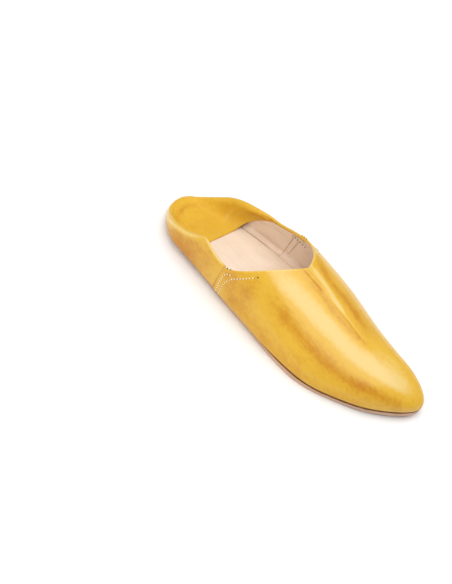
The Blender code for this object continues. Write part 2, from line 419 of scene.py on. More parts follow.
class Graph:
    """The node tree of one material."""

    def __init__(self, name):
        self.material = bpy.data.materials.new(name)
        self.material.use_nodes = True
        self.tree = self.material.node_tree
        self.shader = self.tree.nodes["Principled BSDF"]

    def node(self, kind, settings=None, values=None, output=0):
        """Add a node with its settings, then the values or links of its sockets."""
        made = self.tree.nodes.new(kind)
        for key, value in (settings or {}).items():
            setattr(made, key, value)
        for key, value in (values or {}).items():
            self.feed(made.inputs[key], value)
        return Sock(self, made.outputs[output])

    def feed(self, socket, value):
        if isinstance(value, Sock):
            self.tree.links.new(value.socket, socket)
        else:
            socket.default_value = value

    def set(self, **values):
        for key, value in values.items():
            self.feed(self.shader.inputs[key.replace("_", " ")], value)

    def place(self, scale=(1, 1, 1), turn=(0, 0, 0)):
        """Object coordinates, turned and scaled."""
        coordinates = self.node("ShaderNodeTexCoord", output="Object")
        values = {"Vector": coordinates, "Scale": scale, "Rotation": turn}
        return self.node("ShaderNodeMapping", {}, values)

    def noise(self, vector, scale, detail=4.0, rough=0.5, warp=0.0):
        values = {
            "Vector": vector,
            "Scale": scale,
            "Detail": detail,
            "Roughness": rough,
            "Distortion": warp,
        }
        return self.node("ShaderNodeTexNoise", {}, values)

    def cells(self, vector, scale, feature="F1"):
        values = {"Vector": vector, "Scale": scale}
        return self.node("ShaderNodeTexVoronoi", {"feature": feature}, values)

    def mix(self, part, first, second):
        """The first colour with a part of the second."""
        values = {0: part, 6: first, 7: second}
        return self.node("ShaderNodeMix", {"data_type": "RGBA"}, values, 2)

    def bump(self, height, distance, strength=1.0, below=None):
        values = {"Height": height, "Distance": distance, "Strength": strength}
        if below is not None:
            values["Normal"] = below
        return self.node("ShaderNodeBump", {}, values)

    def attribute(self, name):
        return self.node("ShaderNodeAttribute", {"attribute_name": name}, {}, "Fac")


def rgba(color):
    return (*color, 1.0)


# Property groups


def color_property(name, text, default):
    return bpy.props.FloatVectorProperty(
        name=name, description=text, default=default, subtype="COLOR", size=3, min=0, max=1
    )


def length_property(name, text, default):
    return bpy.props.FloatProperty(
        name=name, description=text, default=default, unit="LENGTH", precision=5
    )


class SlipperColors(bpy.types.PropertyGroup):
    """Colours of the leathers, the thread and the painted shade."""

    golden: color_property("Golden leather", "Main colour of the upper", (0.71, 0.415, 0.032))
    # The deep colour also paints the shade of the strokes: the vamp's dark band, the lower sides
    # and the creases
    deep: color_property("Deep leather", "Darker clouds of the upper", (0.51, 0.19, 0.006))
    # The pale colour paints the highlights: the band over the vamp and the tops of the rolled edges
    pale: color_property("Pale leather", "Lighter clouds and worn edges", (0.77, 0.55, 0.19))
    lining: color_property("Lining", "Side lining", (0.86, 0.70, 0.56))
    insole: color_property("Insole", "Leather under the foot", (0.90, 0.76, 0.61))
    sole: color_property("Sole", "Outsole and its edge", (0.64, 0.39, 0.25))
    thread: color_property("Thread", "Waxed stitching thread", (0.95, 0.88, 0.68))
    # Painted shade in the crevice above the sole and in the needle holes
    burnish: color_property("Burnish", "Dark seam above the sole", (0.10, 0.035, 0.01))


class SlipperSizes(bpy.types.PropertyGroup):
    """Sizes of the details that only the looks have."""

    stitch_pitch: length_property("Stitch pitch", "Distance between stitches", 3.0 * MM)
    stitch_length: length_property("Stitch length", "Length of one stitch", 1.5 * MM)
    thread_radius: length_property("Thread radius", "Half the thread's thickness", 0.52 * MM)


# Materials

BLUSH = (0.86, 0.60, 0.52)
RAW_EDGE = (0.66, 0.44, 0.31)
# Darker clouds in the painted shade
DARKER_SHADE = (0.28, 0.12, 0.04)


def darker_by(color, factors):
    return tuple(c * f for c, f in zip(color, factors))


def leather_material(name, colors):
    """Dyed leather: clouds and brush marks, with painted shade in the deep colour and painted
    highlights in the pale one where the tone_and_painted_light layer says.
    """
    g = Graph(name)
    at = g.place()
    tone_and_painted_light = g.attribute("tone_and_painted_light")
    matte = g.attribute("matte")
    clouds = g.noise(at, 16.0, 3.0, 0.5)
    patches = g.noise(at, 70.0, 4.0, 0.6, 0.4)
    mottle = g.noise(at, 330.0, 4.0, 0.6).between(0.3, 0.7)
    brushed = g.noise(g.place((1.0, 6.0, 3.0), (0.0, 0.0, 0.6)), 130.0, 5.0, 0.65).between(0.3, 0.7)
    # Deep or golden by random clouds, and deep as painted shade where the strokes are above 0
    tone = clouds * 0.4 + patches * 0.25 + brushed * 0.08 + mottle * 0.07 - tone_and_painted_light * 0.30 + 0.10
    base = g.mix(tone.between(0.12, 0.56), rgba(colors.deep), rgba(colors.golden))
    # Pale as painted highlights where the strokes are below 0
    highlighted = clouds * 0.30 + mottle * 0.07 + brushed * 0.07 - tone_and_painted_light * 0.5 + 0.28
    base = g.mix(highlighted.between(0.58, 0.90) * 0.9, base, rgba(colors.pale))
    grain = g.cells(at, 1500.0, "DISTANCE_TO_EDGE").between(0.0, 0.3)
    pores = g.noise(at, 2600.0, 2.0, 0.7)
    coarse = g.bump(brushed * 0.5 + mottle * 0.5, 0.10 * MM, 0.4)
    fine = g.bump(grain * 0.6 + pores * 0.4, 0.03 * MM, 0.5, coarse)
    rough = clouds * 0.08 + mottle * 0.08 + matte * 0.2 + 0.32
    coat = (1.0 - tone_and_painted_light.between(0.1, 1.2)) * (1.0 - matte).clamp() * 0.5
    g.set(Base_Color=base, Roughness=rough, Normal=fine, Coat_Weight=coat)
    g.set(Coat_Roughness=0.14, Specular_IOR_Level=0.25)
    return g.material


def lining_material(name, color):
    """Undyed leather with streaks and wrinkles, with painted shade where the tone_and_painted_light
    layer says.
    """
    g = Graph(name)
    at = g.place()
    clouds = g.noise(at, 30.0, 4.0, 0.6)
    blotch = g.noise(at, 85.0, 3.0, 0.5).between(0.45, 0.75)
    streaks = g.noise(g.place((0.12, 1.0, 1.0)), 260.0, 4.0, 0.6).between(0.35, 0.7)
    darker = darker_by(color, (0.86, 0.80, 0.75))
    crease_shade = darker_by(color, (0.58, 0.48, 0.42))
    base = g.mix(clouds.between(0.3, 0.7) * 0.6, rgba(color), rgba(darker))
    base = g.mix(streaks * 0.5, base, rgba(darker))
    base = g.mix(blotch * 0.18, base, rgba(BLUSH))
    # Painted shade along the lining's seam and creases
    base = g.mix(g.attribute("tone_and_painted_light").clamp(), base, rgba(crease_shade))
    wrinkles = g.noise(g.place((0.25, 1.0, 1.0)), 110.0, 5.0, 0.6, 0.5)
    nap = g.noise(at, 1800.0, 3.0, 0.7)
    bent = g.bump(wrinkles, 0.9 * MM, 0.5)
    g.set(Base_Color=base, Roughness=0.62, Normal=g.bump(nap, 0.05 * MM, 0.5, bent))
    return g.material


def sole_material(name, color):
    """Sole leather with the layers of its cut edge."""
    g = Graph(name)
    layers = g.noise(g.place((1.0, 1.0, 14.0)), 120.0, 4.0, 0.6)
    clouds = g.noise(g.place(), 28.0, 4.0, 0.6)
    darker = darker_by(color, (0.62, 0.62, 0.62))
    base = g.mix(layers.between(0.3, 0.75) * 0.5, rgba(color), rgba(darker))
    base = g.mix(clouds.between(0.45, 0.8) * 0.35, base, rgba(RAW_EDGE))
    g.set(Base_Color=base, Roughness=0.6, Normal=g.bump(layers, 0.12 * MM, 0.4))
    return g.material


def thread_material(name, color):
    """Twisted thread."""
    g = Graph(name)
    values = {"Vector": g.place(), "Scale": 900.0}
    twist = g.node("ShaderNodeTexWave", {"bands_direction": "DIAGONAL"}, values)
    g.set(Base_Color=rgba(color), Roughness=0.55, Normal=g.bump(twist, 0.08 * MM, 0.5))
    return g.material


def crevice_shade_material(name, color):
    """Painted shade: the dark cord in the crevice above the sole and the needle holes."""
    g = Graph(name)
    clouds = g.noise(g.place(), 60.0, 4.0, 0.6)
    base = g.mix(clouds.between(0.4, 0.7) * 0.5, rgba(color), rgba(DARKER_SHADE))
    g.set(Base_Color=base, Roughness=0.5)
    return g.material


def material(name, maker, *arguments):
    """A material made once and shared by the pieces that need it."""
    return bpy.data.materials.get(name) or maker(name, *arguments)


# Forms of the upper

VAMP_ROWS = 230
VAMP_STRAIGHT_ROWS = 0.78
VAMP_SIDE_COLUMNS = 36
VAMP_THROAT_COLUMNS = 110
QUARTER_COLUMNS = 320
QUARTER_ROWS = 56
ROLL_ROWS = 10
HEM_ROWS = 4
FOLD_ROWS = 44
FOLD_FLAT = 0.66
FOLD_LIFT = 0.27
FOLD_SOFTNESS = 2.0 * MM
FOLD_INSET = 2.6 * MM
FOLD_REST = 1.2 * MM
FOLD_FLOOR = 1.0 * MM
FOLD_BELOW_RIM = 1.5 * MM
FOLD_LEAVE_ALONG, FOLD_LEAVE_OUT = -0.60, -0.80
FOLD_LEAVE_PULL = 0.8
FOLD_LAND = (1, 1, 0.4)
FOLD_LAND_PULL = 0.6
FOLD_EDGE_SOFTNESS = 0.1 * MM
FOLD_SMOOTHINGS = 14
HEEL_ROLL_FADE = 0.07
RIM_STEP = 0.04


def heel_roll(share):
    """1 where the back is folded in and the rolled edge is fat, 0 along the thin hem."""
    return smooth_step((FOLD_CORNER_MIDDLE - share) / HEEL_ROLL_FADE)


def rim_frame(share, arch, side):
    """Points on an edge with the unit vectors out of the skin and along it towards the edge."""
    edge = skin(share, arch, side)
    along = unit(np.gradient(edge, axis=0))
    towards = unit(edge - skin(share, arch - RIM_STEP, side))
    out = unit(np.cross(along, towards))
    outwards = ((edge - SHIFT) * out)[:, :2].sum(1)
    out = -out if np.median(outwards) < 0 else out
    towards = unit(np.cross(out, along))
    towards = towards * np.sign(towards[:, 2:3] + 1e-9)
    return edge, out, towards


def roll_rows(edge, out, towards, count, fat=0.0):
    """Rows over a rolled edge, from the outer skin round to the inner side."""
    fat = np.broadcast_to(fat, len(edge))[:, None]
    radius = ROLL_RADIUS + (HEEL_ROLL_RADIUS - ROLL_RADIUS) * fat
    whole = math.pi + (HEEL_ROLL_TURN - math.pi) * fat
    rows = []
    for k in range(count + 1):
        turn = whole * k / count
        rows.append(edge - out * radius + radius * (np.cos(turn) * out + np.sin(turn) * towards))
    return rows


def hem_rows(edge, towards):
    """Rows of the turned hem, going down on the inner side of a rolled edge."""
    return [edge - towards * (HEM_DEPTH * k / HEM_ROWS) for k in range(HEM_ROWS + 1)]


def quarter_path(fronts):
    """Shares and sides round the quarter, from the lateral front to the medial one."""
    count = QUARTER_COLUMNS // 2
    turn = np.linspace(0, math.pi / 2, count // 2 + 1)[:-1]
    heel = HEEL_ROUND * (1 - np.cos(turn))
    paths = []
    for side in (-1, 1):
        front = np.linspace(HEEL_ROUND, fronts[side], count - count // 2 + 1)
        paths.append(np.concatenate([heel, front]))
    share = np.concatenate([paths[0][::-1], paths[1][1:]])
    side = np.concatenate([-np.ones(len(paths[0])), np.ones(len(paths[1]) - 1)])
    return share, side


def quarter_rows(share, side, top, fronts, foot, count):
    """Rows of skin from the sole up to the arch of each column's top; the front edge leans."""
    front = by_side(fronts[-1], fronts[1], side)
    lean = np.clip((share - HEEL_ROUND) / (front - HEEL_ROUND), 0, 1)
    rows = []
    for k in range(count + 1):
        arch = -1 + (top + 1) * k / count
        above = np.clip(arch / np.maximum(top, 0.01), 0, 1)
        rows.append(skin(share - (front - foot) * lean * (1 - above), arch, side))
    return rows


def rim_arch(share, side):
    return arch_at_height(share, rim_height(share, side))


def soft_limit(t):
    """The smaller of t and 1, with a rounded turn between them."""
    return t / (1 + t**6) ** (1 / 6)


def fold_free_edge(share, side):
    """The folded back's free edge: straight over the insole, then up the wall to the rim."""
    corner = by_side(FOLD_CORNER[-1], FOLD_CORNER[1], side)
    reach = np.sqrt(np.clip(1 - (1 - share / corner) ** 2, 0, 1))
    climb = np.clip((reach - FOLD_LIFT) / (1 - FOLD_LIFT), 0, 1) ** 2
    place = FOLD_FRONT + (corner - FOLD_FRONT) * climb**2
    rest = feather_height(place) + INSOLE_THICKNESS + FOLD_REST
    top = rim_height(place, side) - FOLD_BELOW_RIM
    height = rest + (top - rest) * climb
    over = arch_at_height(place, height) * math.pi / 2
    half = belly_half(place, side) * np.cos(over) ** last("fullness", place)
    low = np.clip((belly_height(place) - height) / BELLY_HEIGHT, 0, 1)
    half = half - FOLD_INSET - (swell(place) + FEATHER_INSET) * (1 - np.sqrt(1 - low**2))
    across = soft_limit(reach / FOLD_FLAT) / soft_limit(1 / FOLD_FLAT)
    x = (place - 0.5) * SOLE_LENGTH
    return np.stack([x, side * half * across + centre_line(place), height], -1) + SHIFT


def fold_rows(start, towards, out, free):
    """Rows of the folded back, hanging from the rolled rim down onto the insole."""
    reach = np.linalg.norm(free - start, axis=1, keepdims=True)
    leave = unit(FOLD_LEAVE_ALONG * towards + FOLD_LEAVE_OUT * out) * reach * FOLD_LEAVE_PULL
    land = unit((free - start) * np.array(FOLD_LAND)) * reach * FOLD_LAND_PULL
    floor = feather_height(HEEL_ROUND) + INSOLE_THICKNESS + FOLD_FLOOR
    rows = []
    for k in range(FOLD_ROWS + 1):
        t = k / FOLD_ROWS
        row = (2 * t**3 - 3 * t**2 + 1) * start + (t**3 - 2 * t**2 + t) * leave
        row = row + (3 * t**2 - 2 * t**3) * free + (t**3 - t**2) * land
        soft = FOLD_SOFTNESS * (1 - t) + FOLD_EDGE_SOFTNESS
        row[:, 2] = floor + soft * np.log1p(np.exp((row[:, 2] - floor) / soft))
        rows.append(row)
    return rows


def add_fold(bm, rows):
    """The folded back as a grid without gloss, smoothed inside its edges."""
    matte = bm.verts.layers.float.new("matte")
    made = add_grid(bm, np.array(rows))
    for vert in made:
        vert[matte] = 1.0
    loose = [vert for vert in made if not vert.is_boundary]
    for _ in range(FOLD_SMOOTHINGS):
        bmesh.ops.smooth_vert(
            bm, verts=loose, factor=0.5, use_axis_x=True, use_axis_y=True, use_axis_z=True
        )


def make_quarter_mesh(bm):
    """Outer skin of the quarter, its rolled edge, the hem and the folded back, in one."""
    fronts = {side: SEAM_TOP[side] + QUARTER_LAP for side in (-1, 1)}
    share, side = quarter_path(fronts)
    top = rim_arch(share, side)
    rows = quarter_rows(share, side, top, fronts, SEAM_FOOT + QUARTER_LAP, QUARTER_ROWS)
    edge, out, towards = rim_frame(share, top, side)
    rolled = roll_rows(edge, out, towards, ROLL_ROWS, heel_roll(share))
    add_grid(bm, np.array(rows + rolled[1:]))
    inner = rolled[-1]
    folded = np.flatnonzero(share <= by_side(FOLD_CORNER[-1], FOLD_CORNER[1], side))
    part = slice(folded[0], folded[-1] + 1)
    for hem in (slice(0, part.start + 1), slice(part.stop - 1, len(share))):
        add_grid(bm, np.array(hem_rows(inner[hem], towards[hem])))
    free = fold_free_edge(share[part], side[part])
    fold = fold_rows(inner[part], towards[part], out[part], free)
    add_fold(bm, fold)
    return rim_highlight_strokes(rolled, share, side), fold_strokes(fold)


def vamp_columns():
    """Arch and side across the vamp, from the lateral sole edge over the ridge."""
    low = {s: np.linspace(-1, corner_arch(s), VAMP_SIDE_COLUMNS + 1) for s in (-1, 1)}
    half = VAMP_THROAT_COLUMNS // 2
    high = {s: np.linspace(corner_arch(s), 1, half + 1) for s in (-1, 1)}
    arch = np.concatenate([low[-1][:-1], high[-1], high[1][::-1][1:], low[1][::-1][1:]])
    flank = VAMP_SIDE_COLUMNS + half
    side = np.concatenate([-np.ones(flank), np.ones(flank + 1)])
    return arch, side


def vamp_back(arch, side):
    """Share of the vamp's back edge: the side seam below the corner, the throat above."""
    back = np.empty_like(arch)
    for s in (-1, 1):
        here = side == s
        corner = corner_arch(s)
        up = np.clip(arch[here] / corner, 0, 1)
        seam = SEAM_FOOT + (SEAM_TOP[s] - SEAM_FOOT) * up
        throat = throat_share(np.maximum(arch[here], corner), s)
        back[here] = np.where(arch[here] <= corner, seam, throat)
    return back


def vamp_rows(lap, under=0.0):
    """Rows of the vamp's skin from its back edge to the toe; under reaches back past the seam."""
    arch, side = vamp_columns()
    corner = np.where(side > 0, corner_arch(1), corner_arch(-1))
    below = (corner - arch - LINING_LAP_DROP) / LINING_LAP_FADE
    back = vamp_back(arch, side) - under * smooth_step(below)
    straight = 1 - TOE_ROUND
    bend = int(VAMP_ROWS * VAMP_STRAIGHT_ROWS)
    rows = []
    for k in range(bend):
        rows.append(skin(back + (straight - back) * k / bend, arch, side, lap))
    for k in range(VAMP_ROWS - bend + 1):
        turn = math.pi / 2 * k / (VAMP_ROWS - bend)
        share = straight + TOE_ROUND * math.sin(turn)
        rows.append(skin(np.full_like(arch, share), arch, side, lap))
    return rows


def make_vamp_mesh(bm):
    """Outer skin of the vamp with the rolled throat and its hem."""
    rows = vamp_rows(LAP_STEP)
    add_grid(bm, np.array(rows))
    low = VAMP_SIDE_COLUMNS
    span = slice(low, low + VAMP_THROAT_COLUMNS + 1)
    edge = rows[0][span]
    along = unit(np.gradient(edge, axis=0))
    ahead = unit(rows[2][span] - edge)
    out = unit(np.cross(along, ahead))
    out = out * np.sign(out[:, 2:3] + 1e-9)
    towards = unit(np.cross(along, out))
    towards = towards * np.sign((towards * -ahead).sum(1, keepdims=True))
    rolled = roll_rows(edge, out, towards, ROLL_ROWS)
    add_grid(bm, np.array(rolled + hem_rows(rolled[-1], towards)[1:]))
    lateral, medial = rows[0][: low + 1], rows[0][-low - 1:]
    return ((lateral, *SEAM_STROKE), (medial, *SEAM_STROKE), (rolled[4], *THROAT_STROKE))


# Creases, and strokes of painted shade and painted highlights, or of duller leather

LINE_POINTS = 28
CREASE_START_FADE = 0.12
CREASE_END_FADE = 0.35
STROKE_FADE = 0.2
STROKE_END = 0.25
# Width in millimetres and amount of the strokes along the vamp's seams and throat; the throat's is
# a painted highlight on the top of its rolled edge
SEAM_STROKE = (1.6, 0.8)
THROAT_STROKE = (1.3, -0.8)


def polyline(points, lap=LAP_STEP):
    """Points on the skin along a line given by shares and places across it.

    The place across is 0 on the ridge, -1 widest and -2 at the sole on the lateral side,
    and 1 and 2 on the medial side.
    """
    points = np.array(points, float)
    t = np.linspace(0, len(points) - 1, LINE_POINTS)
    k = np.arange(len(points))
    share, across = np.interp(t, k, points[:, 0]), np.interp(t, k, points[:, 1])
    return skin(share, 1 - np.abs(across), np.where(across > 0, 1, -1), lap)


def distance_to(coordinates, path):
    """Distance of each point to a path, and how far along the path the nearest place is."""
    start, step = path[:-1], np.diff(path, axis=0)
    length = np.maximum((step**2).sum(1), 1e-14)
    best = np.full(len(coordinates), 1e9)
    where = np.zeros(len(coordinates))
    for k in range(len(step)):
        t = np.clip(((coordinates - start[k]) @ step[k]) / length[k], 0, 1)
        distance = np.linalg.norm(coordinates - start[k] - t[:, None] * step[k], axis=1)
        closer = distance < best
        best = np.where(closer, distance, best)
        where = np.where(closer, (k + t) / len(step), where)
    return best, where


def crease_offset(coordinates, path, width, depth, ridge):
    """How far a crease pushes points in or out: a trough with a soft ridge on each side."""
    best, where = distance_to(coordinates, path)
    ends = smooth_step(where / CREASE_START_FADE) * smooth_step((1 - where) / CREASE_END_FADE)
    trough = -np.exp(-((best / width) ** 2))
    swellings = ridge * np.exp(-(((best - 2.0 * width) / width) ** 2))
    return depth * ends * (trough + swellings)


def vert_array(bm):
    return np.array([vert.co[:] for vert in bm.verts])


def press_creases(bm, creases, lap=LAP_STEP):
    bm.normal_update()
    coordinates = vert_array(bm)
    total = np.zeros(len(coordinates))
    for points, width, depth, ridge in creases:
        path = polyline(points, lap)
        total += crease_offset(coordinates, path, width * MM, depth * MM, ridge)
    for vert, offset in zip(bm.verts, total):
        vert.co += vert.normal * offset


def paint(bm, strokes, name, only=None):
    """Add strokes to a value kept at each vertex, on the vertices picked by index.

    The tone_and_painted_light value is deeper above 0, mostly painted shade, and paler below it,
    mostly painted highlights; matte is where the leather has no gloss.
    """
    layers = bm.verts.layers.float
    layer = layers.get(name) or layers.new(name)
    verts = list(bm.verts)
    picked = np.arange(len(verts)) if only is None else only
    coordinates = vert_array(bm)[picked]
    total = np.zeros(len(picked))
    for points, width, amount in strokes:
        path = points if isinstance(points, np.ndarray) else polyline(points)
        best, where = distance_to(coordinates, path)
        inside = smooth_step(where / STROKE_FADE) * smooth_step((1 - where) / STROKE_FADE)
        ends = STROKE_END + (1 - STROKE_END) * inside
        total += amount * ends * np.exp(-((best / (width * MM)) ** 2))
    for index, value in zip(picked, total):
        verts[index][layer] += value


def inner_and_outer(bm):
    """Indices of the vertices on the folded back, and of all the others."""
    matte = bm.verts.layers.float.get("matte")
    inside = np.array([vert[matte] > 0.5 for vert in bm.verts])
    return np.flatnonzero(inside), np.flatnonzero(~inside)


# Creases: line as (share, place across), width and depth in millimetres, ridges beside it
VAMP_CREASES = (
    (((0.526, -0.055), (0.555, -0.055), (0.585, -0.05), (0.612, -0.045)), 1.0, 0.35, 0.7),
    (((0.530, -0.015), (0.56, -0.015), (0.590, -0.02)), 0.9, 0.25, 0.5),
    (((0.600, -0.04), (0.66, -0.04), (0.71, -0.04), (0.77, -0.05), (0.82, -0.04)), 1.1, 0.14, 0.6),
    (((0.524, -0.11), (0.57, -0.09), (0.615, -0.08), (0.68, -0.11), (0.75, -0.10)), 4.0, 0.35, 0.3),
    (((0.515, 0.22), (0.547, 0.17), (0.603, 0.14), (0.65, 0.15)), 3.2, 0.35, 0.3),
    (((0.955, -0.30), (0.975, -0.36)), 0.8, 0.3, 0.4),
    (((0.980, -0.16), (0.990, -0.40)), 0.8, 0.25, 0.4),
)
QUARTER_CREASES = (
    (((0.255, -0.69), (0.288, -0.735), (0.32, -0.76), (0.352, -0.775)), 1.0, 0.35, 0.4),
    (((0.235, -0.74), (0.27, -0.80), (0.31, -0.86)), 0.9, 0.15, 0.4),
)
LINING_CREASES = (
    (((0.374, 0.66), (0.368, 0.85), (0.345, 1.60)), 1.6, 0.35, 0.3),
    (((0.21, 0.98), (0.29, 0.98), (0.365, 0.98)), 1.3, -0.25, 0.6),
    (((0.25, 0.84), (0.31, 0.82), (0.365, 0.84)), 1.0, -0.2, 0.6),
    (((0.385, 0.72), (0.43, 0.68), (0.47, 0.60)), 1.0, -0.3, 0.6),
    (((0.380, 0.95), (0.43, 0.92), (0.48, 0.85)), 1.1, -0.25, 0.6),
    (((0.385, 1.18), (0.44, 1.14), (0.50, 1.05)), 1.2, -0.25, 0.6),
    (((0.397, 0.60), (0.379, 0.80), (0.360, 1.00), (0.352, 1.25)), 0.9, -0.5, 0.5),
)
# Strokes: line as (share, place across), width in millimetres, amount
# Painted shade along the lining's seam and beside its creases and wrinkles
LINING_SHADE = (
    (((0.397, 0.60), (0.379, 0.80), (0.360, 1.00), (0.352, 1.25)), 0.8, 0.9),
    (((0.374, 0.66), (0.368, 0.85), (0.345, 1.60)), 0.8, 0.6),
    (((0.20, 0.90), (0.27, 0.86), (0.34, 0.80)), 1.0, 0.45),
    (((0.22, 1.05), (0.29, 1.02), (0.355, 1.00)), 1.3, 0.35),
    (((0.20, 1.28), (0.27, 1.26), (0.345, 1.28)), 1.2, 0.4),
    (((0.405, 0.82), (0.45, 0.76), (0.51, 0.66)), 1.2, 0.4),
    (((0.40, 1.08), (0.46, 1.02), (0.53, 0.92)), 1.3, 0.4),
    (((0.39, 1.35), (0.45, 1.32), (0.53, 1.25)), 1.5, 0.4),
)
# Painted shade above 0: the band along the lateral side, the lower lateral side, the stripes in the
# creases and beside the ridge on the medial side; painted highlights below 0: the broad band over
# the top, the line on the ridge and a patch toward the toe
VAMP_SHADE_AND_HIGHLIGHT = (
    (((0.52, -0.52), (0.56, -0.53), (0.623, -0.51), (0.735, -0.50), (0.80, -0.54),
      (0.863, -0.54), (0.912, -0.49), (0.965, -0.52), (0.985, -0.46)), 8.0, 0.62),
    (((0.54, -0.60), (0.623, -0.59), (0.735, -0.575), (0.80, -0.61), (0.863, -0.61),
      (0.912, -0.55), (0.965, -0.57)), 4.2, 0.38),
    (((0.442, -0.40), (0.49, -0.34), (0.573, -0.31), (0.655, -0.29), (0.72, -0.26), (0.792, -0.26),
      (0.853, -0.21), (0.912, -0.17), (0.955, -0.10), (0.985, 0.02)), 10.5, -0.8),
    (((0.532, -0.10), (0.615, -0.09), (0.68, -0.11), (0.748, -0.10), (0.805, -0.06)), 3.6, 0.62),
    (((0.527, 0.05), (0.562, 0.04), (0.613, 0.03), (0.655, 0.0), (0.705, -0.02)), 2.0, -1.2),
    (((0.655, -0.04), (0.71, -0.045), (0.77, -0.055)), 1.0, 0.3),
    (((0.527, -0.058), (0.585, -0.052), (0.612, -0.045)), 1.0, 0.9),
    (((0.515, 0.24), (0.547, 0.18), (0.603, 0.15), (0.65, 0.16), (0.71, 0.15),
      (0.77, 0.13)), 4.5, 0.75),
    (((0.79, 0.02), (0.835, 0.05), (0.865, 0.11), (0.907, 0.17)), 4.5, -0.2),
    (((0.352, -0.78), (0.38, -0.77), (0.43, -0.74), (0.49, -0.68)), 8.0, 0.4),
    (((0.35, -0.95), (0.45, -0.92), (0.60, -0.95), (0.80, -1.0), (0.95, -1.0)), 12.0, 0.5),
)
VAMP_MATTE = (
    (((0.44, 0.62), (0.52, 0.72), (0.62, 0.80), (0.75, 0.85), (0.88, 0.85),
      (0.97, 0.8)), 12.0, 1.2),
    (((0.36, -0.95), (0.45, -0.95), (0.60, -1.0), (0.80, -1.0), (0.95, -1.0)), 6.0, 0.5),
)
# Lines on the folded back by row below the rim and column from the heel's middle: painted shade in
# the hollow under the rim and at the far corner, paler streaks, and a paler band near the free edge
FOLD_SHADE_AND_STREAKS = (
    (((14, 78), (20, 60), (26, 44), (32, 22)), 2.0, -0.42),
    (((19, 84), (25, 66), (31, 46)), 1.4, -0.35),
    (((12, 92), (15, 104), (13, 116), (8, 122)), 4.0, 0.5),
    (((7, -60), (7, -30), (7, 0), (7, 30)), 3.5, 0.5),
    (((4, 40), (5, 60), (6, 80)), 2.5, 0.35),
    (((39, -20), (39, 20), (39, 60)), 6.0, -0.25),
)
# Painted shade on the lower lateral side and in the groove under the rim, a painted highlight along
# the lateral rim, and the lower medial side darker
QUARTER_SHADE_HIGHLIGHT_AND_TONE = (
    (((0.02, -0.98), (0.06, -1.05), (0.12, -1.10), (0.18, -1.12), (0.30, -1.15)), 9.0, 0.65),
    (((0.08, -0.88), (0.16, -0.88), (0.24, -0.84), (0.34, -0.88)), 10.0, 0.45),
    (((0.0, -1.0), (0.048, -0.93), (0.103, -0.84), (0.14, -0.80), (0.18, -0.75), (0.215, -0.68),
      (0.245, -0.61)), 3.2, -0.8),
    (((0.255, -0.69), (0.288, -0.735), (0.32, -0.76), (0.352, -0.775)), 1.0, 0.9),
    (((0.10, 1.05), (0.20, 1.10), (0.32, 1.15)), 7.0, 0.3),
)
# Painted highlights along the rolled edge: side, first and last share, row over the roll, width,
# amount
RIM_HIGHLIGHTS = (
    (-1, 0.235, 0.352, 4, 1.8, -0.9),
    (1, 0.05, 0.398, 4, 1.8, -0.45),
    (-1, 0.0, 0.25, 2, 2.2, -0.55),
)


def rim_highlight_strokes(rolled, share, side):
    strokes = []
    for which, first, last_share, row, width, amount in RIM_HIGHLIGHTS:
        part = (side == which) & (share >= first) & (share < last_share)
        strokes.append((rolled[row][part], width, amount))
    return tuple(strokes)


def fold_strokes(fold):
    middle = len(fold[0]) // 2
    return tuple(
        (np.array([fold[row][middle + column] for row, column in steps]), width, amount)
        for steps, width, amount in FOLD_SHADE_AND_STREAKS
    )


# Places outside the skin that tell its outer side
ABOVE = (0.03, 0.0, 0.2)
BESIDE = (-0.06, -0.2, 0.02)


class SLIPPER_OT_upper(bpy.types.Operator):
    """Make the vamp and the quarter with its rolled edges and folded back."""

    bl_idname = "slipper.upper"
    bl_label = "Upper"

    def execute(self, context):
        leather = material("golden_leather", leather_material, context.scene.slipper_colors)
        bm = bmesh.new()
        edges = make_vamp_mesh(bm)
        weld(bm)
        face_outwards(bm, ABOVE)
        press_creases(bm, VAMP_CREASES)
        paint(bm, VAMP_SHADE_AND_HIGHLIGHT + edges, "tone_and_painted_light")
        paint(bm, VAMP_MATTE, "matte")
        finish_piece("vamp", bm, leather, ("upper",), LEATHER)
        bm = bmesh.new()
        rim_highlights, on_fold = make_quarter_mesh(bm)
        weld(bm)
        face_outwards(bm, BESIDE)
        press_creases(bm, QUARTER_CREASES, 0.0)
        inner, outer = inner_and_outer(bm)
        paint(bm, QUARTER_SHADE_HIGHLIGHT_AND_TONE + rim_highlights, "tone_and_painted_light", outer)
        paint(bm, on_fold, "tone_and_painted_light", inner)
        finish_piece("quarter", bm, leather, ("upper", "heel_fold"), LEATHER)
        return {"FINISHED"}


def sink(bm, depth):
    """Move a copy of the skin inwards by a depth."""
    bm.normal_update()
    for vert in bm.verts:
        vert.co -= vert.normal * depth


def make_lining(name, rows, reference, depth, surface):
    """A side lining: rows of skin, creased and darkened with painted shade along its seam and
    creases, a depth inside the upper.
    """
    bm = bmesh.new()
    add_grid(bm, np.array(rows))
    weld(bm)
    face_outwards(bm, reference)
    press_creases(bm, LINING_CREASES, 0.0)
    paint(bm, LINING_SHADE, "tone_and_painted_light")
    sink(bm, depth)
    finish_piece(name, bm, surface, (), LINING_LEATHER)


